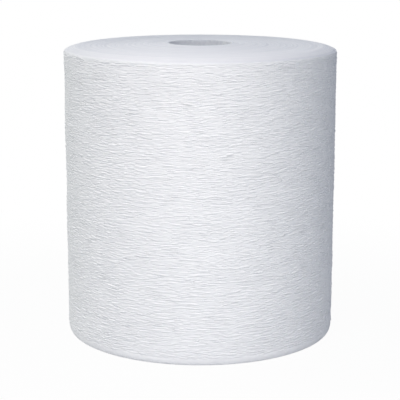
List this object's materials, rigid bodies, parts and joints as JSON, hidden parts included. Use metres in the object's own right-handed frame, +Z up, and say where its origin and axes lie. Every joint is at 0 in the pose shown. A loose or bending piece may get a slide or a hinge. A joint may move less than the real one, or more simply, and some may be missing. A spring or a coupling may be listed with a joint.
{
  "type": "paper towel roll",
  "caption": "Wide roll of white creped paper towel wound on a grey board core, standing on one end with its core hole open from end to end.",
  "frame": {"origin": "on the roll's axis, in the plane that the roll stands on", "axes": "+Z up the roll's axis; the end of the web is on the +Y side, away from the viewer"},
  "size_m": [0.1904, 0.1908, 0.2048],
  "materials": {
    "towel_paper": "matt, creped",
    "core_board": "matt, spiral wound"
  },
  "bodies": {
    "root": {"towel_web": "towel_paper", "core_tube": "core_board"}
  },
  "joints": []
}
